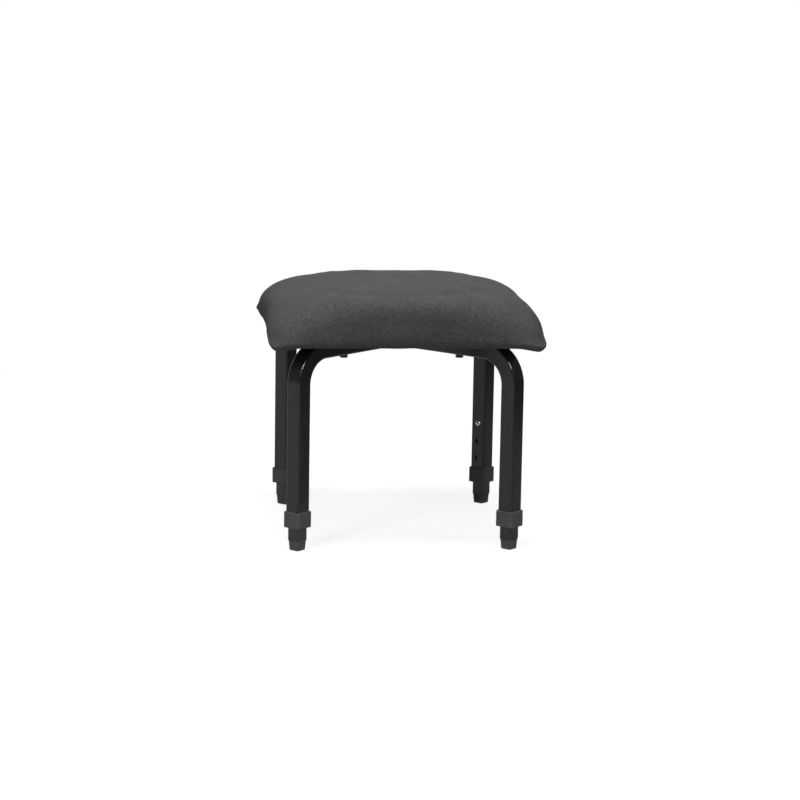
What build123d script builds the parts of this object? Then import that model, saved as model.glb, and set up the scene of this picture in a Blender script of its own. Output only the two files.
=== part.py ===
from build123d import *
import os
from math import atan, degrees, sqrt

# Musician stool: a padded square seat bolted on a cross of two bent square tubes.
# Each of the four legs holds a sliding inner leg, locked by a spring button in a row of holes.
# Millimetres, +Z up, +Y to the back. The origin is on the floor under the middle of the seat.

# Frame: a through tube on one diagonal and two half tubes welded to its sides
tube_size = 25.0
tube_wall = 1.5
tube_corner = 3.0
bend_radius = 47.5
leg_spacing = 309.0
arm_height = 289.0
weld_size = 3.5
weld_sink = 0.6

# Sliding inner legs, with the foot tips below them and the guides on top
leg_wall = 1.5
leg_corner = 1.8
leg_gap = 1.0
leg_top_margin = 38.0
slide_clearance = 0.2
fit_clearance = 0.1
foot_height = 15.0
foot_base = 17.0
foot_top = 20.0
foot_corner = 4.0
foot_edge = 1.3
foot_neck = 1.0
foot_neck_margin = 0.5
foot_plug_length = 22.0
guide_cap = 3.0
guide_plug_length = 12.0
plug_slack = 0.6
rib_height = 1.6
rib_count = 3

# Plastic collars on the ends of the outer legs
collar_bottom = 34.0
collar_height = 23.3
collar_wall = 2.4
collar_corner = 4.0
collar_edge = 1.2
collar_rim = 0.5
collar_lip = 4.0
collar_sleeve = 15.0

# Spring buttons and the rows of holes that they lock in
lowest_hole = 73.0
hole_pitch = 27.5
hole_count = 3
button_radius = 4.0
button_dome = 2.2
button_proud = 2.6
button_clearance = 0.25
stem_radius = 1.7
rivet_radius = 2.7
rivet_height = 0.8
leaf_thickness = 0.8
leaf_width = 9.0
leaf_above_button = 9.0
leaf_below_button = 33.0
leaf_bend = 2.2
leaf_clearance = 0.05

# Seat board and its fixings
board_size = 366.0
board_thickness = 12.0
board_corner = 22.0
board_edge_padding = 5.0
dust_cloth = 0.6
dust_cloth_lap = 16.0
bolt_spacing = 170.0
bolt_radius = 3.0
bolt_clearance = 0.3
bolt_head_flats = 10.0
bolt_head_height = 4.0
washer_radius = 6.2
washer_thickness = 1.5
tee_nut_barrel = 3.9
tee_nut_flange = 9.0
tee_nut_plate = 1.5
thread_clearance = 0.05

# Cushion: cloth over foam, with a crown, drawn-in sides and rounded corners
cushion_height = 77.0
cushion_widest = 8.0
cushion_tuck = 6.0
cushion_draw_in = 7.0
profile_rise = 2.37
profile_round = 5.6
dome_share = 0.23
base_squareness = 14.0
crown_squareness = 3.6
corner_softening = 0.67
crown_rings = (0.995, 0.975, 0.94, 0.88, 0.79, 0.66, 0.50, 0.32, 0.15)
cloth_thickness = 1.5
cloth_flange = 36.0
foam_clearance = 0.3

# Worked out from the sizes above
tube_bore = tube_size - 2 * tube_wall
leg_size = tube_bore - 2 * leg_gap
leg_bore = leg_size - 2 * leg_wall
collar_size = tube_size + 2 * (collar_wall + fit_clearance)
tube_end = collar_bottom + collar_lip
arm_bottom = arm_height - tube_size / 2
arm_top = arm_height + tube_size / 2
arm_reach = leg_spacing / sqrt(2)
hole_heights = [lowest_hole + i * hole_pitch for i in range(hole_count)]
button_height = hole_heights[-1]
leg_top = button_height + leg_top_margin
board_bottom = arm_top + dust_cloth
board_top = board_bottom + board_thickness
cushion_bottom = board_bottom - cloth_thickness
cushion_top = cushion_bottom + cushion_height
widest_height = cushion_bottom + cushion_widest
flange_opening = board_size - 2 * cloth_flange
cushion_overhang = board_edge_padding + cloth_thickness + cushion_draw_in + cushion_tuck
cushion_width = board_size + 2 * cushion_overhang
corners = {
    "front_left": (-1, -1),
    "front_right": (1, -1),
    "back_left": (-1, 1),
    "back_right": (1, 1),
}
BASE = (Align.CENTER, Align.CENTER, Align.MIN)


def save(node, solid):
    """Write one piece to its own file."""
    solid.label = node
    export_step(solid, os.path.join("parts", node + ".step"))


def rounded_square(size, corner):
    return RectangleRounded(size, size, corner)


def square_bar(size, corner, bottom, top):
    return Pos(0, 0, bottom) * extrude(rounded_square(size, corner), top - bottom)


def plain_bar(size, bottom, top):
    return Pos(0, 0, bottom) * Box(size, size, top - bottom, align=BASE)


def leg_place(side):
    """Place on a leg's axis at floor level, with +X towards the middle of the stool."""
    x, y = corners[side]
    origin = (x * leg_spacing / 2, y * leg_spacing / 2, 0)
    return Plane(origin=origin, x_dir=(-x, -y, 0), z_dir=(0, 0, 1))


def cross_cylinder(radius, height, start, end):
    """Cylinder along the leg's own X, from start to end."""
    return Pos(start, 0, height) * Rot(0, 90, 0) * Cylinder(radius, end - start, align=BASE)


# Frame tubes


def bent_leg(reach):
    """Outer leg, its bend and its arm, drawn on the leg's own axis."""
    section = rounded_square(tube_size, tube_corner) - Rectangle(tube_bore, tube_bore)
    bend_start = arm_height - bend_radius
    bend_axis = Axis((bend_radius, 0, bend_start), (0, 1, 0))
    arm_start = Plane(origin=(bend_radius, 0, arm_height), x_dir=(0, 1, 0), z_dir=(1, 0, 0))
    leg = Pos(0, 0, tube_end) * extrude(section, bend_start - tube_end)
    bend = revolve(Pos(0, 0, bend_start) * section, axis=bend_axis, revolution_arc=90)
    arm = arm_start * extrude(section, reach - bend_radius)
    return leg + bend + arm


def lock_holes(side):
    radius = button_radius + button_clearance
    return [
        leg_place(side) * cross_cylinder(radius, height, 0, tube_size)
        for height in hole_heights
    ]


def bolt_places(height):
    half = bolt_spacing / 2
    return [Pos(x * half, y * half, height) for x, y in corners.values()]


def bolt_holes(bottom, top):
    cutter = Cylinder(bolt_radius + bolt_clearance, top - bottom, align=BASE)
    return [place * cutter for place in bolt_places(bottom)]


def through_tube():
    """Both legs of one diagonal and the arm between them, bent from one tube."""
    half = bent_leg(arm_reach)
    tube = leg_place("front_left") * half + leg_place("back_right") * half
    tube -= bolt_holes(arm_bottom, arm_top)
    return tube - lock_holes("front_left") - lock_holes("back_right")


def half_tube(side):
    """Bent tube from one leg to the side of the through tube."""
    tube = leg_place(side) * bent_leg(arm_reach - tube_size / 2)
    return tube - bolt_holes(arm_bottom, arm_top) - lock_holes(side)


def weld_beads():
    """Fillet welds up both sides of each half tube's end, drawn once and placed at four corners."""
    rim = tube_size / 2
    outer = rim + weld_size
    middle = rim + weld_size * weld_sink
    foot = Polyline((rim, outer), (rim, rim), (outer, rim))
    face = ThreePointArc((outer, rim), (middle, middle), (rim, outer))
    profile = make_face(foot + face)
    length = tube_size - 2 * tube_corner
    bead = Pos(0, 0, arm_height - length / 2) * extrude(profile, length)
    return Compound(children=[Rot(0, 0, 45 + 90 * i) * bead for i in range(4)])


# Collars, inner legs, foot tips and guides, drawn on the leg's own axis


def collar():
    collar_top = collar_bottom + collar_height
    socket_size = tube_size + 2 * fit_clearance
    socket_corner = tube_corner + fit_clearance
    sleeve_size = tube_bore - 2 * fit_clearance
    bore_size = leg_size + 2 * slide_clearance
    bore_corner = leg_corner + slide_clearance
    body = square_bar(collar_size, collar_corner, collar_bottom, collar_top)
    body = fillet(body.edges().group_by(Axis.Z)[0], collar_edge)
    body = chamfer(body.edges().group_by(Axis.Z)[-1], collar_rim)
    body -= square_bar(socket_size, socket_corner, tube_end, collar_top)
    body += plain_bar(sleeve_size, tube_end, tube_end + collar_sleeve)
    return body - square_bar(bore_size, bore_corner, collar_bottom, collar_top)


def inner_leg():
    tube = square_bar(leg_size, leg_corner, foot_height, leg_top)
    tube -= plain_bar(leg_bore, foot_height, leg_top)
    return tube - cross_cylinder(button_radius + button_clearance, button_height, 0, leg_size)


def ribbed_plug(bottom, top):
    """Plug for the inner leg's bore, with ribs that bear on its walls."""
    plug = plain_bar(leg_bore - 2 * plug_slack, bottom, top)
    pitch = (top - bottom) / rib_count
    for i in range(rib_count):
        middle = bottom + (i + 0.5) * pitch
        plug += plain_bar(leg_bore - 2 * fit_clearance, middle - rib_height / 2, middle + rib_height / 2)
    return plug


def foot_tip():
    """Rubber tip that tapers to its sole, with a neck below the inner leg and a plug inside it."""
    shoulder = foot_height - foot_neck
    taper = degrees(atan((foot_top - foot_base) / 2 / shoulder))
    head = extrude(rounded_square(foot_top, foot_corner), shoulder, taper=taper)
    head = fillet(head.edges().group_by(Axis.Z)[-1], foot_edge)
    head = Pos(0, 0, shoulder) * Rot(180, 0, 0) * head
    head += plain_bar(leg_bore + 2 * foot_neck_margin, shoulder, foot_height)
    return head + ribbed_plug(foot_height, foot_height + foot_plug_length)


def leg_guide():
    """Cap on the inner leg's top that runs in the outer leg."""
    cap_size = tube_bore - 2 * slide_clearance
    cap = square_bar(cap_size, leg_corner, leg_top, leg_top + guide_cap)
    cap = chamfer(cap.edges().group_by(Axis.Z)[-1], guide_cap / 3)
    return cap + ribbed_plug(leg_top - guide_plug_length, leg_top)


# Spring buttons


def leaf_spring():
    """Strip bent to a narrow V: its front leaf carries the button, its back leaf bears on the far wall."""
    wall = leg_bore / 2 - leaf_clearance - leaf_thickness / 2
    low = button_height - leaf_below_button
    high = button_height + leaf_above_button
    path = FilletPolyline((wall, 0, high), (wall, 0, low), (-wall, 0, high), radius=leaf_bend)
    start = Plane(origin=(wall, 0, high), x_dir=(1, 0, 0), z_dir=(0, 0, -1))
    strip = sweep(start * Rectangle(leaf_thickness, leaf_width), path=path)
    strip &= Box(leg_bore - 2 * leaf_clearance, leg_bore, 2 * high)
    return strip - cross_cylinder(stem_radius + leaf_clearance, button_height, 0, leg_size)


def snap_button():
    """Domed button on a stem that is riveted through the front leaf."""
    leaf_front = leg_bore / 2 - leaf_clearance
    leaf_back = leaf_front - leaf_thickness
    rivet_back = leaf_back - rivet_height
    tip = tube_size / 2 + button_proud
    shoulder = tip - button_dome
    dome_radius = (button_radius**2 + button_dome**2) / (2 * button_dome)
    outline = Polyline(
        (0, tip),
        (0, rivet_back),
        (rivet_radius, rivet_back),
        (rivet_radius, leaf_back),
        (stem_radius, leaf_back),
        (stem_radius, leaf_front),
        (button_radius, leaf_front),
        (button_radius, shoulder),
    )
    dome = RadiusArc((button_radius, shoulder), (0, tip), -dome_radius)
    button = revolve(make_face(outline + dome), axis=Axis.Y)
    return Pos(0, 0, button_height) * Rot(0, 0, -90) * button


# Seat board, dust cloth and fixings


def seat_board():
    board = square_bar(board_size, board_corner, board_bottom, board_top)
    barrel = Cylinder(tee_nut_barrel + fit_clearance, board_thickness, align=BASE)
    recess = Cylinder(tee_nut_flange + fit_clearance, tee_nut_plate, align=BASE)
    board -= [place * barrel for place in bolt_places(board_bottom)]
    return board - [place * recess for place in bolt_places(board_top - tee_nut_plate)]


def tee_nut():
    barrel_length = board_thickness - tee_nut_plate
    nut = Cylinder(tee_nut_barrel, barrel_length, align=BASE)
    nut += Pos(0, 0, barrel_length) * Cylinder(tee_nut_flange, tee_nut_plate, align=BASE)
    return nut - Cylinder(bolt_radius + thread_clearance, board_thickness, align=BASE)


def seat_bolt():
    """Hexagon bolt, drawn from its washer's underside at zero."""
    head = extrude(RegularPolygon(bolt_head_flats / 2, 6, major_radius=False), -bolt_head_height)
    shank_length = washer_thickness + board_top - tee_nut_plate - arm_bottom
    return head + Cylinder(bolt_radius, shank_length, align=BASE)


def washer():
    disc = Cylinder(washer_radius, washer_thickness, align=BASE)
    return disc - Cylinder(bolt_radius + bolt_clearance, washer_thickness, align=BASE)


def dust_cloth_panel():
    """Thin cloth under the board: its middle lies on the board, its rim laps the seat cover's flange."""
    middle_size = flange_opening - 2 * foam_clearance
    lap_size = flange_opening + 2 * dust_cloth_lap
    rim_bottom = cushion_bottom - dust_cloth
    corner = board_corner
    panel = square_bar(lap_size, corner, rim_bottom, cushion_bottom)
    panel += square_bar(middle_size, corner, cushion_bottom, board_bottom)
    panel -= square_bar(middle_size - 2 * dust_cloth, corner, rim_bottom, board_bottom - dust_cloth)
    return panel - bolt_holes(rim_bottom, board_bottom)


# Cushion


def cushion_outline(half, squareness, draw_in):
    """Square with rounded corners and sides that are drawn in at their middles."""
    diagonal = half * 2 ** (-1 / squareness)
    corner = (half - diagonal) / (1 - sqrt(0.5))
    flat = half - corner
    edge = half * (1 - (flat / half) ** squareness) ** (1 / squareness)
    side = ThreePointArc((edge, -flat), (half - draw_in, 0), (edge, flat))
    turn = ThreePointArc((edge, flat), (diagonal, diagonal), (flat, edge))
    quarter = [side, turn]
    return make_face([Rot(0, 0, 90 * i) * curve for i in range(4) for curve in quarter])


def skirt_section(height, inset):
    """Outline below the widest level, where the cloth turns in under the board."""
    tuck = cushion_tuck * ((widest_height - height) / cushion_widest) ** 2
    half = cushion_width / 2 - tuck - inset
    return Pos(0, 0, height) * cushion_outline(half, base_squareness, cushion_draw_in)


def crown_section(ring, inset):
    """Outline above the widest level, at the height where the crown has narrowed to a share of its width."""
    shoulder = (1 - ring**profile_round) ** (1 / profile_rise)
    rise = shoulder + dome_share * (1 - ring**2 - shoulder)
    height = widest_height + rise * (cushion_top - widest_height - inset)
    squareness = base_squareness + (crown_squareness - base_squareness) * rise**corner_softening
    half = ring * cushion_width / 2 - inset
    return Pos(0, 0, height) * cushion_outline(half, squareness, cushion_draw_in * (1 - rise))


def cushion_form(bottom, inset):
    """Closed cushion shape from a bottom height up to the crown."""
    skirt = [skirt_section(height, inset) for height in (bottom, widest_height)]
    crown = [crown_section(ring, inset) for ring in crown_rings]
    return loft(skirt + crown)


def seat_cover():
    opening = square_bar(flange_opening, board_corner, cushion_bottom, board_bottom)
    return cushion_form(cushion_bottom, 0) - cushion_form(board_bottom, cloth_thickness) - opening


def seat_foam():
    """Padding on top of the board, down its edges to the cloth's flange."""
    padding = cushion_form(board_bottom, cloth_thickness + foam_clearance)
    board_room = square_bar(
        board_size + 2 * foam_clearance, board_corner, board_bottom, board_top
    )
    return padding - board_room


def fixings(shape, height):
    return Compound(children=[place * shape for place in bolt_places(height)])


os.makedirs("parts", exist_ok=True)

save("frame_through_tube", through_tube())
save("frame_half_tube_front", half_tube("front_right"))
save("frame_half_tube_back", half_tube("back_left"))
save("frame_weld_beads", weld_beads())

leg_pieces = {
    "leg_collar": collar(),
    "inner_leg": inner_leg(),
    "foot_tip": foot_tip(),
    "leg_guide": leg_guide(),
    "leaf_spring": leaf_spring(),
    "snap_button": snap_button(),
}
for side in corners:
    for piece, solid in leg_pieces.items():
        save(piece + "_" + side, leg_place(side) * solid)

save("seat_board", seat_board())
save("dust_cloth", dust_cloth_panel())
save("tee_nuts", fixings(tee_nut(), board_bottom))
save("seat_bolts", fixings(seat_bolt(), arm_bottom - washer_thickness))
save("bolt_washers", fixings(washer(), arm_bottom - washer_thickness))
save("seat_foam", seat_foam())
save("seat_cover", seat_cover())
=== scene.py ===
from math import cos, radians, sin

import bmesh
import bpy
import numpy as np
from bpy.props import FloatProperty, FloatVectorProperty, IntProperty, PointerProperty
from mathutils import Matrix, Vector


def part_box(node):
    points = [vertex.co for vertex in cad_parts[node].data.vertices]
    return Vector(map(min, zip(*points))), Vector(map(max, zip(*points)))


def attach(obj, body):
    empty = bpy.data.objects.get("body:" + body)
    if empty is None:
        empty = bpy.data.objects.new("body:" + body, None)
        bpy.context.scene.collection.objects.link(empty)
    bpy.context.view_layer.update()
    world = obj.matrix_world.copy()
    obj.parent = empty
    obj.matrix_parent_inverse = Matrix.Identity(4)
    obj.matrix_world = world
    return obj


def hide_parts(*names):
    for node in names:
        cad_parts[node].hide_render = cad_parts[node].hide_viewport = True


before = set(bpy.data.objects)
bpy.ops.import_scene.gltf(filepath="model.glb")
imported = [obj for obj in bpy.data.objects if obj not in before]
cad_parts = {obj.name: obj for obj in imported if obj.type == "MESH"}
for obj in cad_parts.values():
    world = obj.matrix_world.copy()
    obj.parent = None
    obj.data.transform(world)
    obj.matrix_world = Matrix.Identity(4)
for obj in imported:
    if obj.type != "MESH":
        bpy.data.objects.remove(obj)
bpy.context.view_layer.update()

bl_info = {
    "name": "Musician Stool",
    "version": (1, 0, 0),
    "blender": (4, 5, 0),
    "location": "View3D > Sidebar > Stool",
    "description": "Dresses the stool's frame with its cushion, cloth, finishes and studio",
    "category": "Object",
}

SIDES = ("front_left", "front_right", "back_left", "back_right")
BODY = "stool"


# Sizes and colours


def length(name, description, default):
    return FloatProperty(name=name, description=description, default=default, unit="LENGTH", precision=5)


def colour(name, description, default):
    return FloatVectorProperty(
        name=name, description=description, default=default, subtype="COLOR", size=3, min=0.0, max=1.0
    )


class StoolSizes(bpy.types.PropertyGroup):
    half_width: length("Half width", "Half the cushion's width at its widest level", 0.2034)
    widest: length("Widest height", "Height of the cushion's widest level above the floor", 0.3086)
    bottom: length("Bottom height", "Height of the cushion's underside above the floor", 0.3006)
    top: length("Top height", "Height of the crown above the floor", 0.377)
    draw_in: length("Draw in", "How far the middle of each side is pulled in at the base", 0.0065)
    lean: length("Lean", "How much higher the crown stands at the front than in the middle", 0.002)
    tuck: length("Tuck", "How far the cloth turns in below the widest level", 0.0057)
    flange: length("Flange", "Half the opening in the cloth under the board", 0.147)
    inset: length("Start inset", "How much smaller the cushion is before it is inflated", 0.004)
    puff: length("Puff", "Most that the inflated cloth may stand off its pattern", 0.0015)
    weave: length("Weave pitch", "Width of one yarn of the seat cloth", 0.0011)
    dust_cloth: length("Dust cloth", "Side of the square dust cloth", 0.326)
    staple_pitch: length("Staple pitch", "Distance between the staples", 0.026)
    cells: IntProperty(
        name="Cells", description="Cells across the cushion's mesh", default=112, min=40, max=160
    )
    pressure: FloatProperty(name="Pressure", description="Pressure that inflates the cushion", default=4.0)
    seed: IntProperty(name="Seed", description="Start of every random number", default=11)


class StoolColours(bpy.types.PropertyGroup):
    cloth: colour("Seat cloth", "Woven seat cloth", (0.105, 0.105, 0.108))
    coat: colour("Powder coat", "Satin black coat of the tubes", (0.029, 0.029, 0.030))
    plastic: colour("Collar plastic", "Moulded collars and guides", (0.106, 0.106, 0.108))
    rubber: colour("Foot rubber", "Rubber foot tips", (0.135, 0.135, 0.137))
    nickel: colour("Nickel", "Plated spring buttons", (0.72, 0.71, 0.69))
    zinc: colour("Zinc", "Plated bolts, washers, tee nuts and staples", (0.055, 0.055, 0.054))
    spring: colour("Spring steel", "Leaf springs", (0.42, 0.42, 0.43))
    plywood: colour("Plywood", "Seat board", (0.52, 0.36, 0.20))
    dust_cloth: colour("Dust cloth", "Black non-woven cloth under the board", (0.018, 0.018, 0.018))
    floor: colour("Floor", "Pale studio floor", (0.80, 0.80, 0.80))


# Shader tools


class Signal:
    """A shader node's output. Arithmetic on it adds Math nodes to the same tree."""

    def __init__(self, finish, socket):
        self.finish = finish
        self.socket = socket

    def math(self, operation, *values):
        inputs = dict(enumerate(values))
        return self.finish.node("ShaderNodeMath", {"operation": operation}, inputs)

    def __add__(self, other):
        return self.math("ADD", self, other)

    def __radd__(self, other):
        return self.math("ADD", other, self)

    def __sub__(self, other):
        return self.math("SUBTRACT", self, other)

    def __rsub__(self, other):
        return self.math("SUBTRACT", other, self)

    def __mul__(self, other):
        return self.math("MULTIPLY", self, other)

    def __rmul__(self, other):
        return self.math("MULTIPLY", other, self)

    def floor(self):
        return self.math("FLOOR", self)

    def fract(self):
        return self.math("FRACT", self)

    def sine(self):
        return self.math("SINE", self)

    def over(self, low, high):
        """Smooth step from 0 at low to 1 at high."""
        settings = {"interpolation_type": "SMOOTHSTEP"}
        return self.finish.node("ShaderNodeMapRange", settings, {0: self, 1: low, 2: high, 3: 0.0, 4: 1.0})


class Finish:
    """A material or world, with the one method that adds its nodes."""

    def __init__(self, block):
        block.use_nodes = True
        self.block = block
        self.tree = block.node_tree

    def node(self, kind, settings=None, inputs=None, output=0):
        node = self.tree.nodes.new(kind)
        for key, value in (settings or {}).items():
            setattr(node, key, value)
        for key, value in (inputs or {}).items():
            self.feed(node.inputs[key], value)
        return Signal(self, node.outputs[output])

    def feed(self, socket, value):
        if isinstance(value, Signal):
            self.tree.links.new(value.socket, socket)
        else:
            socket.default_value = value

    def surface(self, **values):
        """Sets the sockets of the material's main shader, spaces in their names as underscores."""
        shader = self.tree.nodes["Principled BSDF"]
        for key, value in values.items():
            self.feed(shader.inputs[key.replace("_", " ")], value)

    def place(self, kind="Object"):
        """Coordinates of the piece, as a vector and its three parts."""
        vector = self.node("ShaderNodeTexCoord", output=kind)
        parts = [self.node("ShaderNodeSeparateXYZ", None, {0: vector}, output=i) for i in range(3)]
        return [vector] + parts

    def vector(self, x, y, z):
        return self.node("ShaderNodeCombineXYZ", None, {0: x, 1: y, 2: z})

    def noise(self, vector, scale, detail=2.0, roughness=0.5):
        inputs = {"Vector": vector, "Scale": scale, "Detail": detail, "Roughness": roughness}
        return self.node("ShaderNodeTexNoise", None, inputs)

    def streaks(self, place, across, upright, detail, roughness=0.5):
        """Noise drawn out upright, with its scale across the piece and along its height."""
        x, y, z = place
        drawn = self.vector(x * across, y * across, z * upright)
        return self.noise(drawn, 1.0, detail, roughness)

    def cells(self, vector, scale, feature="F1"):
        return self.node("ShaderNodeTexVoronoi", {"feature": feature}, {"Vector": vector, "Scale": scale})

    def mix(self, factor, first, second):
        settings = {"data_type": "RGBA", "blend_type": "MIX"}
        return self.node("ShaderNodeMix", settings, {0: factor, 6: first, 7: second}, output=2)

    def bump(self, height, distance, strength):
        inputs = {"Strength": strength, "Distance": distance, "Height": height}
        return self.node("ShaderNodeBump", None, inputs)

    def matt(self, colour):
        return self.node("ShaderNodeBsdfDiffuse", None, {"Color": colour})

    def glow(self, strength):
        return self.node("ShaderNodeEmission", None, {"Strength": strength})

    def blend(self, factor, first, second):
        """Mixes two shaders."""
        return self.node("ShaderNodeMixShader", None, {0: factor, 1: first, 2: second})


def new_finish(name):
    return Finish(bpy.data.materials.new(name))


def shade(rgb, factor):
    """Colour for a socket, lighter or darker than the given one."""
    return tuple(min(1.0, channel * factor) for channel in rgb) + (1.0,)


# Finishes


def cloth_finish(rgb, pattern_width, pitch):
    """Plain weave of slubbed yarns that follows the cushion's own pattern."""
    mottle_size, blotch_size, cloud_size = 0.0026, 0.007, 0.05
    slub = 0.06
    finish = new_finish("seat_cloth")
    vector, u, v, _ = finish.place("UV")
    across = pattern_width / pitch
    x = u * across
    y = v * across
    column = x.floor()
    row = y.floor()
    arch_x = (x.fract() * np.pi).sine()
    arch_y = (y.fract() * np.pi).sine()
    warp_up = ((column + row) * 0.5).fract() * 2.0
    warp = arch_x * (0.5 + 0.5 * arch_y)
    weft = arch_y * (0.5 + 0.5 * arch_x)
    height = warp_up * warp + (1.0 - warp_up) * weft
    # Each yarn reads a stretch of noise far from its neighbour's, so its tone is its own
    warp_tone = finish.noise(finish.vector(column * 7.31, y * slub, 0.0), scale=1.0)
    weft_tone = finish.noise(finish.vector(x * slub, row * 5.77, 9.0), scale=1.0)
    yarn = warp_up * warp_tone + (1.0 - warp_up) * weft_tone
    mottle = finish.noise(vector, pattern_width / mottle_size, detail=3.0, roughness=0.7)
    blotch = finish.noise(vector, pattern_width / blotch_size, roughness=0.6)
    cloud = finish.noise(vector, pattern_width / cloud_size)
    fleck = finish.noise(finish.vector(x * 0.7, y * 0.7, 4.0), scale=1.0, detail=1.0).over(0.62, 0.78)
    patchy = 2.0 * (mottle - 0.5) + 0.7 * (blotch - 0.5) + 0.3 * (cloud - 0.5)
    # The weave's height also lightens the yarns' crowns and darkens the gaps between them: painted shade
    tone = 0.30 * height + 0.8 * (yarn - 0.5) + patchy + 0.35 * fleck + 0.32
    finish.surface(
        Base_Color=finish.mix(tone, shade(rgb, 0.55), shade(rgb, 1.45)),
        Roughness=0.92 - 0.10 * height,
        Specular_IOR_Level=0.02,
        Normal=finish.bump(height + 0.35 * yarn, distance=0.00010, strength=0.5),
    )
    return finish.block


def coat_finish(name, rgb, slide_marks):
    """Satin powder coat with orange peel, streaked below the bends; sliding legs also carry rub marks."""
    bend_start, bend_end = 0.24, 0.27
    finish = new_finish(name)
    vector, x, y, z = finish.place()
    peel = finish.noise(vector, scale=620.0, roughness=0.45)
    grain = finish.noise(vector, scale=2600.0, detail=1.0)
    cloud = finish.noise(vector, scale=26.0, detail=3.0)
    patch = finish.noise(vector, scale=140.0, detail=3.0, roughness=0.6)
    drawn = finish.streaks((x, y, z), across=700.0, upright=22.0, detail=3.0, roughness=0.6)
    below_bend = 1.0 - z.over(bend_start, bend_end)
    rough = 0.22 + 0.08 * (cloud - 0.5) + 0.05 * (grain - 0.5)
    light = 0.35 * cloud + 0.25 * grain + 1.8 * (drawn - 0.5) * below_bend + 0.9 * (patch - 0.5)
    if slide_marks:
        rubbed = finish.streaks((x, y, z), across=1400.0, upright=9.0, detail=2.0).over(0.60, 0.74)
        light = light + 0.45 * rubbed
        rough = rough - 0.08 * rubbed
    finish.surface(
        Base_Color=finish.mix(light, shade(rgb, 0.8), shade(rgb, 1.6)),
        Roughness=rough,
        Specular_IOR_Level=0.45,
        Normal=finish.bump(peel + 0.15 * grain, distance=0.00008, strength=0.4),
    )
    return finish.block


def plastic_finish(name, rgb):
    """Moulded plastic with a spark-eroded grain and lighter rubbed patches."""
    finish = new_finish(name)
    vector, _, _, z = finish.place()
    grain = finish.cells(vector, scale=1900.0)
    fine = finish.noise(vector, scale=3200.0)
    cloud = finish.noise(vector, scale=55.0, detail=3.0, roughness=0.6)
    flow = finish.noise(finish.vector(z * 260.0, cloud * 2.0, 0.0), scale=1.0, detail=1.0)
    tone = 0.5 * cloud + 0.25 * fine + 0.15 * flow
    finish.surface(
        Base_Color=finish.mix(tone, shade(rgb, 0.75), shade(rgb, 1.4)),
        Roughness=0.52 + 0.16 * fine,
        Specular_IOR_Level=0.35,
        Normal=finish.bump(grain + 0.4 * fine, distance=0.00007, strength=0.6),
    )
    return finish.block


def rubber_finish(rgb, foot_height):
    """Matt rubber with shallow moulded rings and a dusty, worn sole."""
    ring_pitch, dust_height = 0.0026, 0.006
    finish = new_finish("foot_rubber")
    vector, _, _, z = finish.place()
    fine = finish.noise(vector, scale=1500.0, detail=3.0, roughness=0.6)
    scuff = finish.noise(vector, scale=160.0, detail=4.0, roughness=0.65)
    ringed = 1.0 - z.over(0.7 * foot_height, 0.85 * foot_height)
    rings = (z * (2.0 * np.pi / ring_pitch)).sine() * ringed
    worn = (1.0 - z.over(0.0, dust_height)) * scuff
    tone = 0.35 * fine + 0.3 * scuff + 0.6 * worn
    finish.surface(
        Base_Color=finish.mix(tone, shade(rgb, 0.7), shade(rgb, 1.7)),
        Roughness=0.70 + 0.2 * fine,
        Specular_IOR_Level=0.25,
        Normal=finish.bump(0.35 * rings + 0.25 * fine, distance=0.00025, strength=0.6),
    )
    return finish.block


def metal_finish(name, rgb, rough, streak_scale, tint):
    """Bare or plated metal with drawn streaks, fine scratches and a faint tint in patches."""
    finish = new_finish(name)
    vector, x, y, z = finish.place()
    streak = finish.streaks((x, y, z), across=streak_scale, upright=60.0, detail=3.0)
    scratch = finish.cells(vector, scale=420.0, feature="DISTANCE_TO_EDGE").over(0.0, 0.03)
    patch = finish.noise(vector, scale=140.0, detail=3.0)
    tinted = [channel * share for channel, share in zip(rgb, tint)]
    finish.surface(
        Base_Color=finish.mix(0.6 * patch + 0.4 * streak, shade(rgb, 0.78), shade(tinted, 1.0)),
        Metallic=1.0,
        Roughness=rough + 0.14 * (streak - 0.5) + 0.06 * (1.0 - scratch),
        Normal=finish.bump(streak + 0.2 * scratch, distance=0.00002, strength=0.4),
    )
    return finish.block


def plywood_finish(rgb, bottom, thickness):
    """Plies in turn along and across, with their grain, and darker glue lines between them."""
    plies = 7.0
    finish = new_finish("plywood")
    _, x, y, z = finish.place()
    layer = (z - bottom) * (plies / thickness)
    ply = layer.floor()
    across = (ply * 0.5).fract() * 2.0
    along = x * (1.0 - across) + y * across
    over = y * (1.0 - across) + x * across
    grain = finish.noise(
        finish.vector(along * 14.0, over * 420.0, ply * 3.7), scale=1.0, detail=4.0, roughness=0.6
    )
    growth = finish.noise(finish.vector(along * 3.0, over * 45.0, ply * 1.9), scale=1.0)
    glue = 1.0 - (layer.fract() * np.pi).sine().over(0.0, 0.25)
    tone = 0.55 * grain + 0.5 * growth - 0.35 * across - 0.6 * glue
    finish.surface(
        Base_Color=finish.mix(tone, shade(rgb, 0.5), shade(rgb, 1.35)),
        Roughness=0.62 + 0.2 * grain,
        Normal=finish.bump(grain, distance=0.0002, strength=0.4),
    )
    return finish.block


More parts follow.
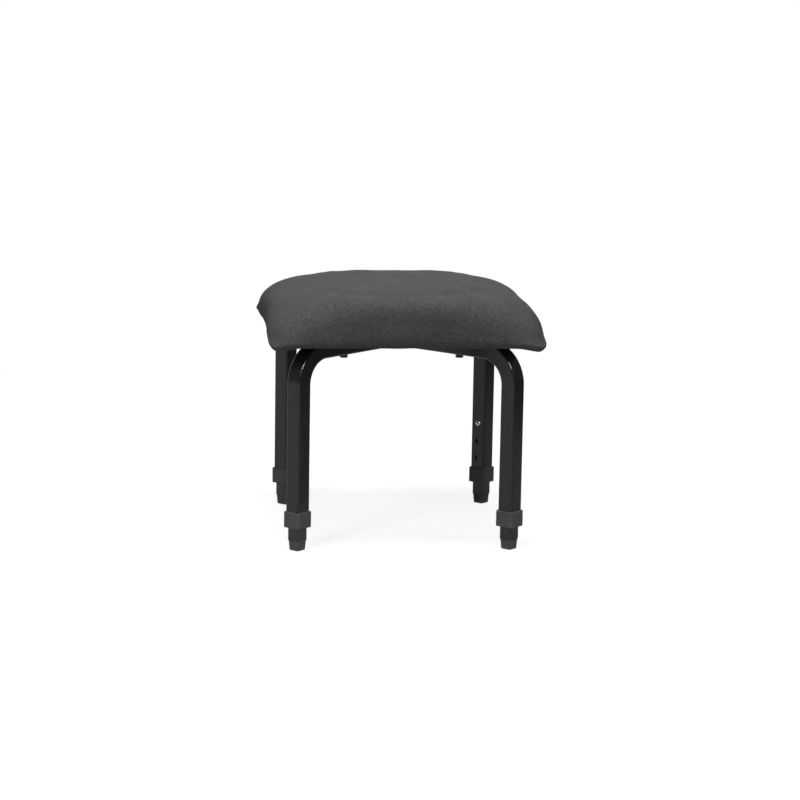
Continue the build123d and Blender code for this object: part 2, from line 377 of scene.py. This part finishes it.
def dust_cloth_finish(rgb, side):
    """Non-woven cloth: matted fibres with a lattice of small pressed dots."""
    dot_pitch = 0.0024
    finish = new_finish("dust_cloth")
    _, u, v, _ = finish.place("UV")
    x = u * (side / dot_pitch)
    y = v * (side / dot_pitch)
    dot_x = ((x + y).fract() * np.pi).sine()
    dot_y = ((x - y).fract() * np.pi).sine()
    dots = (dot_x * dot_y).over(0.55, 0.9)
    fibre = finish.noise(finish.vector(x * 3.0, y * 0.8, 0.0), scale=1.0, detail=3.0)
    felt = finish.noise(finish.vector(x * 0.8, y * 3.0, 5.0), scale=1.0, detail=3.0)
    tone = 0.45 * fibre + 0.45 * felt + 0.25 * dots
    finish.surface(
        Base_Color=finish.mix(tone, shade(rgb, 0.6), shade(rgb, 1.8)),
        Roughness=0.95 - 0.25 * dots,
        Specular_IOR_Level=0.2,
        Normal=finish.bump(0.5 * fibre + 0.5 * felt - 0.8 * dots, distance=0.0002, strength=0.7),
    )
    return finish.block


# Mesh tools


def new_piece(name, mesh_builder, material):
    """Links a new mesh object made from a finished bmesh, riding on the stool."""
    mesh = bpy.data.meshes.new(name)
    mesh_builder.to_mesh(mesh)
    mesh_builder.free()
    piece = bpy.data.objects.new(name, mesh)
    bpy.context.scene.collection.objects.link(piece)
    mesh.materials.append(material)
    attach(piece, BODY)
    return piece


def smooth(piece):
    piece.data.polygons.foreach_set("use_smooth", [True] * len(piece.data.polygons))


def dress(nodes, material):
    """Gives carried-over nodes their finish."""
    for node in nodes:
        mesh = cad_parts[node].data
        mesh.materials.clear()
        mesh.materials.append(material)


def step(values, low, high):
    """Smooth step of an array from 0 at low to 1 at high."""
    share = np.clip((values - low) / (high - low), 0, 1)
    return share * share * (3 - 2 * share)


def points_of(mesh):
    flat = np.zeros(len(mesh.vertices) * 3)
    mesh.vertices.foreach_get("co", flat)
    return flat.reshape(-1, 3)


# Cushion

# Pull folds and long soft waves of the seat cloth; each pair is a range to draw from, in degrees or metres
FOLDS_PER_CORNER = 3
FOLD_ANGLES = (12, 46)
FOLD_LENGTHS = (0.035, 0.075)
FOLD_HEIGHTS = (0.0005, 0.0012)
FOLD_WIDTHS = (0.0035, 0.006)
FOLD_STARTS = (0.0, 0.012)
WAVES = 9
WAVE_LENGTHS = (0.05, 0.13)
WAVE_HEIGHT = 0.00016


class CushionPattern:
    """The cover's profiles by length of cloth, from the middle of the crown to the flange's inner edge."""

    RING_POINTS = 600
    HEM_RADIUS = 0.0025
    BASE_SQUARENESS = 16.0
    CROWN_SQUARENESS = 3.1
    SQUARENESS_EASE = 0.28

    def __init__(self, sizes):
        self.sizes = sizes
        self.side = self.profile(roundness=6.8, steepness=2.42, dome=0.18)
        self.front = self.profile(roundness=22.0, steepness=2.4, dome=0.11)
        self.crown, self.under, self.total = self.marks(self.side)

    def profile(self, roundness, steepness, dome):
        """Length, width and height along a section through the middle of one side."""
        sizes = self.sizes
        ring = np.sin(np.linspace(0, np.pi / 2, self.RING_POINTS))
        shoulder = (1 - ring**roundness) ** (1 / steepness)
        rise = shoulder + dome * (1 - ring**2 - shoulder)
        drop = np.linspace(0, 1, 12)[1:]
        bend = np.linspace(0, np.pi / 2, 7)[1:]
        skirt = sizes.widest - sizes.bottom
        edge = self.HEM_RADIUS
        foot = sizes.half_width - sizes.tuck
        width = np.concatenate([
            ring * sizes.half_width,
            sizes.half_width - sizes.tuck * drop**2 * (1 - edge / skirt),
            foot - edge * (1 - np.cos(bend)),
            [sizes.flange],
        ])
        height = np.concatenate([
            sizes.widest + rise * (sizes.top - sizes.widest),
            sizes.widest - drop * (skirt - edge),
            sizes.bottom + edge * (1 - np.sin(bend)),
            [sizes.bottom],
        ])
        far = np.concatenate([[0], np.cumsum(np.hypot(np.diff(width), np.diff(height)))])
        return far, width, height

    @classmethod
    def marks(cls, profile):
        """Lengths to the widest level, to the underside and to the flange's inner edge."""
        far = profile[0]
        return far[cls.RING_POINTS - 1], far[-2], far[-1]

    def place(self, flat):
        """Points of the cover for points of the flat square pattern from -1 to 1."""
        sizes = self.sizes
        share = np.maximum(np.abs(flat[:, 0]), np.abs(flat[:, 1]))
        heading = flat / np.maximum(share, 1e-9)[:, None]
        across = np.minimum(np.abs(heading[:, 0]), np.abs(heading[:, 1]))
        along = share * self.total
        front_crown = self.marks(self.front)[0]
        on_crown = along * front_crown / self.crown
        past_crown = along - self.crown + front_crown
        front_along = np.where(along < self.crown, on_crown, past_crown)
        # The front is squarer than the other sides, and the more so away from its corners
        in_front = -flat[:, 1] >= np.abs(flat[:, 0])
        squarer = (1 - across**3) ** 1.5 * in_front
        blended = []
        for soft, square in zip(self.side[1:], self.front[1:]):
            on_side = np.interp(along, self.side[0], soft)
            on_front = np.interp(front_along, self.front[0], square)
            blended.append((1 - squarer) * on_side + squarer * on_front)
        width, height = blended
        rise = np.clip((height - sizes.widest) / (sizes.top - sizes.widest), 0, 1)
        softer = self.CROWN_SQUARENESS - self.BASE_SQUARENESS
        squareness = self.BASE_SQUARENESS + softer * rise**self.SQUARENESS_EASE
        straight = step(along, self.under, self.total)
        draw = sizes.draw_in * (1 - rise) * (1 - straight) * (1 - across**2) ** 2
        reach = (width - draw) / (1 + across**squareness) ** (1 / squareness)
        spot = heading * reach[:, None]
        height = height - sizes.lean * rise * spot[:, 1] / sizes.half_width
        return np.column_stack([spot, height]), along, across


def outward(points):
    """Unit normals of a square grid of points, pointing up and out."""
    side = round(len(points) ** 0.5)
    grid = points.reshape(side, side, 3)
    normal = np.cross(np.gradient(grid, axis=1), np.gradient(grid, axis=0)).reshape(-1, 3)
    normal /= np.maximum(np.linalg.norm(normal, axis=1), 1e-12)[:, None]
    return normal if normal[len(normal) // 2, 2] > 0 else -normal


def inflate(piece, pinned, pressure):
    """Cloth simulation with inside pressure; the pinned points hold the cover under the board."""
    last_frame = 20
    scene = bpy.context.scene
    group = piece.vertex_groups.new(name="held")
    group.add([int(i) for i in np.flatnonzero(pinned)], 1.0, "REPLACE")
    cloth = piece.modifiers.new("cloth", "CLOTH")
    settings = cloth.settings
    settings.quality = 6
    settings.mass = 0.3
    settings.tension_stiffness = 22
    settings.compression_stiffness = 22
    settings.shear_stiffness = 8
    settings.bending_stiffness = 1.2
    settings.air_damping = 3
    settings.use_pressure = True
    settings.uniform_pressure_force = pressure
    settings.effector_weights.gravity = 0
    settings.vertex_group_mass = "held"
    cloth.point_cache.frame_start = 1
    cloth.point_cache.frame_end = last_frame
    for number in range(1, last_frame + 1):
        scene.frame_set(number)
    shaped = piece.evaluated_get(bpy.context.evaluated_depsgraph_get())
    points = points_of(shaped.to_mesh())
    shaped.to_mesh_clear()
    piece.modifiers.remove(cloth)
    piece.vertex_groups.remove(group)
    scene.frame_set(1)
    return points


class STOOL_OT_seat_cushion(bpy.types.Operator):
    """Cloth stretched over a crowned pad and turned in under the board, with pull folds at its corners"""

    bl_idname = "stool.seat_cushion"
    bl_label = "Seat Cushion"
    start_fade = 0.030
    soften_passes = 14
    corner_droop = 0.0045
    lip = 0.0013

    def execute(self, context):
        sizes = context.scene.stool_sizes
        pattern = CushionPattern(sizes)
        cells = sizes.cells
        build = bmesh.new()
        build.loops.layers.uv.new("pattern")
        bmesh.ops.create_grid(build, x_segments=cells, y_segments=cells, size=1.0, calc_uvs=True)
        material = cloth_finish(context.scene.stool_colours.cloth, 2 * pattern.total, sizes.weave)
        cushion = new_piece("seat_cushion", build, material)
        flat = points_of(cushion.data)[:, :2]
        target, along, across = pattern.place(flat)
        normal = outward(target)
        free = 1 - step(along, pattern.crown - self.start_fade, pattern.crown)
        start = target - normal * (sizes.inset * free)[:, None]
        cushion.data.vertices.foreach_set("co", start.ravel())
        cushion.data.update()
        points = target
        moved = inflate(cushion, along > pattern.crown, sizes.pressure) - target
        puff = self.soften((moved * normal).sum(axis=1))
        points = target + normal * np.clip(puff, -sizes.puff, sizes.puff)[:, None]
        points = points + normal * self.folds(sizes, pattern, flat, along, target)[:, None]
        points[:, 2] -= self.droop(pattern, along, across)
        cushion.data.vertices.foreach_set("co", points.ravel())
        self.refine(cushion)
        self.close(cushion, sizes)
        smooth(cushion)
        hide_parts("seat_cover", "seat_foam")
        return {"FINISHED"}

    def soften(self, values):
        """Evens out a field over the cushion's grid."""
        side = round(len(values) ** 0.5)
        grid = values.reshape(side, side)
        for _ in range(self.soften_passes):
            wide = np.pad(grid, 1, mode="edge")
            grid = (wide[:-2, 1:-1] + wide[2:, 1:-1] + wide[1:-1, :-2] + wide[1:-1, 2:]) / 4
        return grid.ravel()

    @staticmethod
    def folds(sizes, pattern, flat, along, target):
        """Height of the pull folds from each lower corner into the sides, and of long soft waves."""
        hem, overlap = 0.004, 0.02
        chance = np.random.default_rng(sizes.seed)
        total = np.zeros(len(flat))
        rise = target[:, 2] - sizes.bottom
        outside = 1 - step(along, pattern.under - hem, pattern.under + hem)
        for axis in (0, 1):
            other = 1 - axis
            face = np.abs(flat[:, axis]) >= np.abs(flat[:, other]) - overlap
            for side in (-1, 1):
                on_face = face & (flat[:, axis] * side > 0)
                for end in (-1, 1):
                    inward = sizes.half_width - end * target[:, other]
                    for _ in range(FOLDS_PER_CORNER):
                        angle = radians(chance.uniform(*FOLD_ANGLES))
                        size = chance.uniform(*FOLD_LENGTHS)
                        height = chance.uniform(*FOLD_HEIGHTS)
                        narrow = chance.uniform(*FOLD_WIDTHS)
                        begin = chance.uniform(*FOLD_STARTS)
                        run = (inward - begin) * cos(angle) + rise * sin(angle)
                        off = (rise * cos(angle) - (inward - begin) * sin(angle)) / narrow
                        fade = step(run, -0.004, 0.012) * (1 - step(run, 0.4 * size, size))
                        fold = -height * off * np.exp(-0.5 * off**2) * fade
                        total += np.where(on_face, fold, 0) * outside
        for _ in range(WAVES):
            heading = chance.uniform(0, 2 * np.pi)
            wave = chance.uniform(*WAVE_LENGTHS)
            phase = chance.uniform(0, 2 * np.pi)
            where = flat[:, 0] * cos(heading) + flat[:, 1] * sin(heading)
            total += WAVE_HEIGHT * np.sin(where * pattern.total * 2 * np.pi / wave + phase) * outside
        return total

    def droop(self, pattern, along, across):
        """How far the lower corners hang below the board's level."""
        above, below = 0.020, 0.03
        low = step(along, pattern.crown - above, pattern.under)
        low = low * (1 - step(along, pattern.under, pattern.under + below))
        return self.corner_droop * step(across, 0.80, 1.0) * low

    @staticmethod
    def refine(cushion):
        """One level of subdivision, applied."""
        rounding = cushion.modifiers.new("rounding", "SUBSURF")
        rounding.levels = 1
        rounding.render_levels = 1
        coarse = cushion.data
        cushion.data = bpy.data.meshes.new_from_object(
            cushion.evaluated_get(bpy.context.evaluated_depsgraph_get())
        )
        cushion.modifiers.remove(rounding)
        bpy.data.meshes.remove(coarse)

    def close(self, cushion, sizes):
        """Turns the cloth's inner edge up to the board and fills the opening."""
        build = bmesh.new()
        build.from_mesh(cushion.data)
        rim = [edge for edge in build.edges if edge.is_boundary]
        new = bmesh.ops.extrude_edge_only(build, edges=rim)["geom"]
        corners = [item for item in new if isinstance(item, bmesh.types.BMVert)]
        for corner in corners:
            corner.co.z = sizes.bottom + self.lip
        inner = [item for item in new if isinstance(item, bmesh.types.BMEdge) and item.is_boundary]
        filled = bmesh.ops.holes_fill(build, edges=inner)["faces"]
        bmesh.ops.triangulate(build, faces=filled)
        bmesh.ops.recalc_face_normals(build, faces=build.faces)
        build.to_mesh(cushion.data)
        build.free()


class STOOL_OT_dust_cloth(bpy.types.Operator):
    """Black cloth stapled under the board, lapping the cushion's flange"""

    bl_idname = "stool.dust_cloth"
    bl_label = "Dust Cloth"
    sheet_cells = 72
    thickness = 0.0005
    board_gap = 0.0012
    lap_drop = 0.0015
    sag = 0.0007
    ripples = 10
    ripple_lengths = (0.03, 0.09)
    ripple_height = 0.00018
    rim_inside = 0.004
    rim_outside = 0.001
    slack = 0.03
    half_tube = 0.0125

    def execute(self, context):
        sizes = context.scene.stool_sizes
        side = sizes.dust_cloth
        build = bmesh.new()
        build.loops.layers.uv.new("pattern")
        bmesh.ops.create_grid(
            build, x_segments=self.sheet_cells, y_segments=self.sheet_cells, size=side / 2, calc_uvs=True
        )
        material = dust_cloth_finish(context.scene.stool_colours.dust_cloth, side)
        cloth = new_piece("dust_cloth_sheet", build, material)
        points = points_of(cloth.data)
        points[:, 2] = self.level(sizes, points)
        cloth.data.vertices.foreach_set("co", points.ravel())
        cloth.data.update()
        smooth(cloth)
        wall = cloth.modifiers.new("thickness", "SOLIDIFY")
        wall.thickness = self.thickness
        wall.offset = 0
        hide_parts("dust_cloth")
        return {"FINISHED"}

    def level(self, sizes, points):
        """Heights of the cloth: flat under the board, lower on the flange, loose between the arms."""
        reach = np.maximum(np.abs(points[:, 0]), np.abs(points[:, 1]))
        rim = step(reach, sizes.flange - self.rim_inside, sizes.flange + self.rim_outside)
        chance = np.random.default_rng(sizes.seed + 1)
        ripple = np.zeros(len(points))
        for _ in range(self.ripples):
            heading = chance.uniform(0, 2 * np.pi)
            where = points[:, 0] * cos(heading) + points[:, 1] * sin(heading)
            wave = chance.uniform(*self.ripple_lengths)
            phase = chance.uniform(0, 6.28)
            ripple += np.sin(where * 2 * np.pi / wave + phase)
        off_middle = np.abs(np.abs(points[:, 0]) - np.abs(points[:, 1])) / np.sqrt(2)
        off_arm = off_middle - self.half_tube
        off_rim = 1 - step(reach, sizes.flange - self.slack, sizes.flange)
        loose = step(off_arm, 0.0, self.slack) * off_rim
        hang = self.sag + self.ripple_height * ripple
        return sizes.bottom + self.board_gap - self.lap_drop * rim - loose * hang


class STOOL_OT_staples(bpy.types.Operator):
    """Flat wire staples through the dust cloth's rim"""

    bl_idname = "stool.staples"
    bl_label = "Staples"
    bar_size = (0.0102, 0.0012, 0.0006)
    rounding = 0.0002
    margin = 0.006
    below_cloth = 0.00055
    stray_along = 0.003
    stray_across = 0.0015
    stray_turn = 0.2

    def execute(self, context):
        sizes = context.scene.stool_sizes
        chance = np.random.default_rng(sizes.seed + 2)
        line = sizes.dust_cloth / 2 - self.margin
        level = sizes.bottom - self.below_cloth
        count = int(2 * line / sizes.staple_pitch)
        build = bmesh.new()
        for turn in range(4):
            quarter = Matrix.Rotation(turn * np.pi / 2, 4, "Z")
            for number in range(count):
                along = (number - (count - 1) / 2) * sizes.staple_pitch
                along += chance.uniform(-self.stray_along, self.stray_along)
                bar = bmesh.ops.create_cube(build, size=1.0)["verts"]
                edges = list({edge for corner in bar for edge in corner.link_edges})
                bmesh.ops.scale(build, vec=self.bar_size, verts=bar)
                made = bmesh.ops.bevel(
                    build, geom=edges, offset=self.rounding, offset_type="OFFSET", affect="EDGES",
                    segments=2, profile=0.5, material=-1,
                )["verts"]
                across = line + chance.uniform(-self.stray_across, self.stray_across)
                skew = Matrix.Rotation(chance.uniform(-self.stray_turn, self.stray_turn), 4, "Z")
                spot = quarter @ Matrix.Translation((along, across, level)) @ skew
                bmesh.ops.transform(build, matrix=spot, verts=made)
        zinc = context.scene.stool_colours.zinc
        wire = metal_finish("staple_wire", zinc, rough=0.34, streak_scale=300.0, tint=(1.0, 0.99, 0.95))
        new_piece("cloth_staples", build, wire)
        return {"FINISHED"}


class STOOL_OT_frame(bpy.types.Operator):
    """Powder coat on the through tube and the two half tubes"""

    bl_idname = "stool.frame"
    bl_label = "Frame Tubes"

    def execute(self, context):
        finish = coat_finish("frame_powder_coat", context.scene.stool_colours.coat, False)
        dress(["frame_through_tube", "frame_half_tube_front", "frame_half_tube_back"], finish)
        return {"FINISHED"}


class STOOL_OT_weld_beads(bpy.types.Operator):
    """Rippled fillet welds up the four inner corners of the cross"""

    bl_idname = "stool.weld_beads"
    bl_label = "Weld Beads"
    corner_share = 0.80
    radius = 0.0026
    end_radius = 0.0016
    rings = 40
    ripples = 9
    ripple_share = 0.16
    uneven_share = 0.03

    def execute(self, context):
        low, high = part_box("frame_weld_beads")
        middle = (low + high) / 2
        corner = (high.x - middle.x) * self.corner_share
        lift = Vector((0, 0, (high.z - low.z) / self.rings))
        chance = np.random.default_rng(context.scene.stool_sizes.seed + 3)
        build = bmesh.new()
        for turn in range(4):
            ring = bmesh.ops.create_circle(
                build, cap_ends=True, segments=12, radius=self.end_radius
            )["verts"]
            spot = Vector((corner * cos(turn * np.pi / 2), corner * sin(turn * np.pi / 2), low.z))
            bmesh.ops.translate(build, vec=spot, verts=ring)
            faces = list({face for point in ring for face in point.link_faces})
            for number in range(self.rings):
                made = bmesh.ops.extrude_face_region(build, geom=faces)["geom"]
                bmesh.ops.delete(build, geom=faces, context="FACES_ONLY")
                faces = [item for item in made if isinstance(item, bmesh.types.BMFace)]
                points = [item for item in made if isinstance(item, bmesh.types.BMVert)]
                bmesh.ops.translate(build, vec=lift, verts=points)
                share = (number + 1) / self.rings
                ripple = 1 + self.ripple_share * abs(sin(share * np.pi * self.ripples))
                ripple += chance.uniform(-self.uneven_share, self.uneven_share)
                taper = min(1.0, 4.5 * min(share, 1 - share) + 0.55)
                radius = self.radius * ripple * taper
                centre = sum((point.co for point in points), Vector()) / len(points)
                for point in points:
                    flat = (point.co - centre).normalized()
                    point.co = centre + flat * radius
        bmesh.ops.recalc_face_normals(build, faces=build.faces)
        finish = coat_finish("weld_powder_coat", context.scene.stool_colours.coat, False)
        beads = new_piece("weld_ripples", build, finish)
        smooth(beads)
        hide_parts("frame_weld_beads")
        return {"FINISHED"}


class STOOL_OT_legs(bpy.types.Operator):
    """Finishes of the collars, the sliding legs, their guides and the rubber tips"""

    bl_idname = "stool.legs"
    bl_label = "Legs and Feet"
    leg_lightness = 1.8

    def execute(self, context):
        colours = context.scene.stool_colours
        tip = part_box("inner_leg_front_left")[0].z
        lighter = shade(colours.coat, self.leg_lightness)[:3]
        finishes = {
            "leg_collar_": plastic_finish("collar_plastic", colours.plastic),
            "leg_guide_": plastic_finish("guide_plastic", colours.plastic),
            "inner_leg_": coat_finish("leg_powder_coat", lighter, True),
            "foot_tip_": rubber_finish(colours.rubber, tip),
        }
        for piece, finish in finishes.items():
            dress([piece + side for side in SIDES], finish)
        return {"FINISHED"}


class STOOL_OT_spring_buttons(bpy.types.Operator):
    """Nickel on the spring buttons and bare spring steel on their leaves"""

    bl_idname = "stool.spring_buttons"
    bl_label = "Spring Buttons"

    def execute(self, context):
        colours = context.scene.stool_colours
        nickel = metal_finish(
            "button_nickel", colours.nickel, rough=0.20, streak_scale=900.0, tint=(1.0, 0.98, 0.94)
        )
        steel = metal_finish(
            "spring_steel", colours.spring, rough=0.32, streak_scale=1600.0, tint=(1.0, 0.99, 1.02)
        )
        dress(["snap_button_" + side for side in SIDES], nickel)
        dress(["leaf_spring_" + side for side in SIDES], steel)
        return {"FINISHED"}


class STOOL_OT_fixings(bpy.types.Operator):
    """Zinc plate on the bolts, washers and tee nuts"""

    bl_idname = "stool.fixings"
    bl_label = "Fixings"

    def execute(self, context):
        zinc = metal_finish(
            "zinc_plate", context.scene.stool_colours.zinc,
            rough=0.33, streak_scale=700.0, tint=(1.0, 0.99, 0.96),
        )
        dress(["seat_bolts", "bolt_washers", "tee_nuts"], zinc)
        return {"FINISHED"}


class STOOL_OT_seat_board(bpy.types.Operator):
    """Plywood of the seat board"""

    bl_idname = "stool.seat_board"
    bl_label = "Seat Board"

    def execute(self, context):
        low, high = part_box("seat_board")
        dress(["seat_board"], plywood_finish(context.scene.stool_colours.plywood, low.z, high.z - low.z))
        return {"FINISHED"}


# Stage


class STOOL_OT_stage(bpy.types.Operator):
    """White studio: floor, softboxes, world and the camera"""

    bl_idname = "stool.stage"
    bl_label = "Stage"

    def execute(self, context):
        context.scene.view_settings.view_transform = "Standard"
        self.floor(context.scene.stool_colours.floor)
        self.world(context.scene)
        self.softbox("top_softbox", place=(0.0, -0.5, 2.7), size=(1.2, 1.0), power=40.0)
        self.softbox("right_softbox", place=(1.43, -1.27, 1.52), size=(0.35, 0.7), power=1.2)
        self.softbox("left_softbox", place=(-1.10, -1.45, 1.60), size=(0.3, 0.5), power=9.0)
        self.camera(context.scene)
        return {"FINISHED"}

    @staticmethod
    def rays(finish):
        """1 for rays straight from the camera, and 1 for those that see the studio by gloss or in glass."""
        camera, gloss, glass = (
            finish.node("ShaderNodeLightPath", output=name)
            for name in ("Is Camera Ray", "Is Glossy Ray", "Is Transmission Ray")
        )
        mirror = (gloss + glass) * (1.0 - camera)
        return camera, mirror.math("MINIMUM", mirror, 1.0)

    def floor(self, rgb):
        """Pale floor with soft shadows, white further out; gloss sees it fade from left to right."""
        half_side, shadow_end, white_start = 40.0, 0.7, 1.5
        lift, white, glossy = 0.87, 1.0, 0.62
        middle_loss, right_loss = 0.30, 0.28
        most_loss = middle_loss + right_loss
        build = bmesh.new()
        bmesh.ops.create_grid(build, x_segments=1, y_segments=1, size=half_side)
        mesh = bpy.data.meshes.new("floor")
        build.to_mesh(mesh)
        build.free()
        floor = bpy.data.objects.new("floor", mesh)
        bpy.context.scene.collection.objects.link(floor)
        finish = new_finish("studio_floor")
        vector, x, _, _ = finish.place()
        camera, mirror = self.rays(finish)
        away = finish.node("ShaderNodeVectorMath", {"operation": "LENGTH"}, {0: vector}, output="Value")
        shadowed = finish.matt(shade(rgb, 0.5))
        lifted = finish.node("ShaderNodeAddShader", None, {0: shadowed, 1: finish.glow(lift)})
        shown = finish.blend(away.over(shadow_end, white_start), lifted, finish.glow(white))
        # Gloss sees the floor as a glow, bright at the left and dim at the right: a painted reflection that
        # lightens the tubes' left faces
        loss = middle_loss * x.over(-0.3, 0.3) + right_loss * x.over(0.9, 1.4)
        faded = finish.blend(loss * (1.0 / most_loss), finish.glow(glossy), finish.glow(glossy - most_loss))
        lit = finish.blend(mirror, finish.matt(shade(rgb, 0.6)), faded)
        surface = finish.blend(camera, lit, shown)
        finish.feed(finish.tree.nodes["Material Output"].inputs["Surface"], surface)
        mesh.materials.append(finish.block)

    def world(self, scene):
        """White for the camera; gloss sees it white behind and dim in front, with a small lamp high up."""
        dim, fill, lamp_strength = 0.12, 0.1, 28.0
        lamp_x, lamp_y, lamp_z = 0.10, -0.62, 0.78
        scene.world = bpy.data.worlds.new("studio")
        finish = Finish(scene.world)
        background = finish.tree.nodes["Background"]
        background.inputs["Color"].default_value = (1.0, 1.0, 1.0, 1.0)
        camera, mirror = self.rays(finish)
        _, x, y, z = finish.place("Generated")
        lamp = (lamp_x * x + lamp_y * y + lamp_z * z).over(0.935, 0.955)
        mirrored = dim + (1.0 - dim) * y.over(0.3, 0.85) + lamp_strength * lamp
        strength = camera + mirror * mirrored + (1.0 - camera - mirror) * fill
        finish.feed(background.inputs["Strength"], strength)

    @staticmethod
    def softbox(name, place, size, power):
        """Rectangular lamp that points at the seat."""
        aim = Vector((0, 0, 0.25))
        lamp = bpy.data.lights.new(name, "AREA")
        lamp.shape = "RECTANGLE"
        lamp.size, lamp.size_y = size
        lamp.energy = power
        box = bpy.data.objects.new(name, lamp)
        box.location = place
        box.rotation_euler = (aim - Vector(place)).to_track_quat("-Z", "Y").to_euler()
        bpy.context.scene.collection.objects.link(box)

    @staticmethod
    def camera(scene):
        """Camera fitted to the photograph: a long lens, a little to the left and above."""
        yaw, pitch, roll = radians(6.0), radians(10.33), radians(1.0)
        distance, lens, sensor = 3.959, 118.98, 36.0
        aim_height, shift_right, shift_down = 0.2, 0.0074, 0.0079
        ahead = Vector((sin(yaw) * cos(pitch), cos(yaw) * cos(pitch), -sin(pitch)))
        right = Vector((cos(yaw), -sin(yaw), 0))
        up = right.cross(ahead)
        side = cos(roll) * right + sin(roll) * up
        top = cos(roll) * up - sin(roll) * right
        place = Vector((0, 0, aim_height)) - ahead * distance + side * shift_right - top * shift_down
        data = bpy.data.cameras.new("camera")
        data.lens = lens
        data.sensor_width = sensor
        data.clip_end = 200.0
        camera = bpy.data.objects.new("camera", data)
        turn = Matrix((side, top, -ahead)).transposed()
        camera.matrix_world = Matrix.Translation(place) @ turn.to_4x4()
        scene.collection.objects.link(camera)
        scene.camera = camera


class STOOL_PT_panel(bpy.types.Panel):
    """Lists the stool's pieces, sizes and colours"""

    bl_idname = "STOOL_PT_panel"
    bl_label = "Musician Stool"
    bl_space_type = "VIEW_3D"
    bl_region_type = "UI"
    bl_category = "Stool"

    def draw(self, context):
        for operator in OPERATORS:
            self.layout.operator(operator.bl_idname)
        for group in (context.scene.stool_sizes, context.scene.stool_colours):
            column = self.layout.column()
            for name in group.__annotations__:
                column.prop(group, name)


OPERATORS = (
    STOOL_OT_seat_cushion,
    STOOL_OT_dust_cloth,
    STOOL_OT_staples,
    STOOL_OT_frame,
    STOOL_OT_weld_beads,
    STOOL_OT_legs,
    STOOL_OT_spring_buttons,
    STOOL_OT_fixings,
    STOOL_OT_seat_board,
    STOOL_OT_stage,
)
CLASSES = (StoolSizes, StoolColours) + OPERATORS + (STOOL_PT_panel,)


def register():
    for item in CLASSES:
        bpy.utils.register_class(item)
    bpy.types.Scene.stool_sizes = PointerProperty(type=StoolSizes)
    bpy.types.Scene.stool_colours = PointerProperty(type=StoolColours)


def unregister():
    del bpy.types.Scene.stool_colours
    del bpy.types.Scene.stool_sizes
    for item in reversed(CLASSES):
        bpy.utils.unregister_class(item)


def main():
    register()
    bpy.ops.stool.seat_cushion()
    bpy.ops.stool.dust_cloth()
    bpy.ops.stool.staples()
    bpy.ops.stool.frame()
    bpy.ops.stool.weld_beads()
    bpy.ops.stool.legs()
    bpy.ops.stool.spring_buttons()
    bpy.ops.stool.fixings()
    bpy.ops.stool.seat_board()
    bpy.ops.stool.stage()


if __name__ == "__main__":
    main()
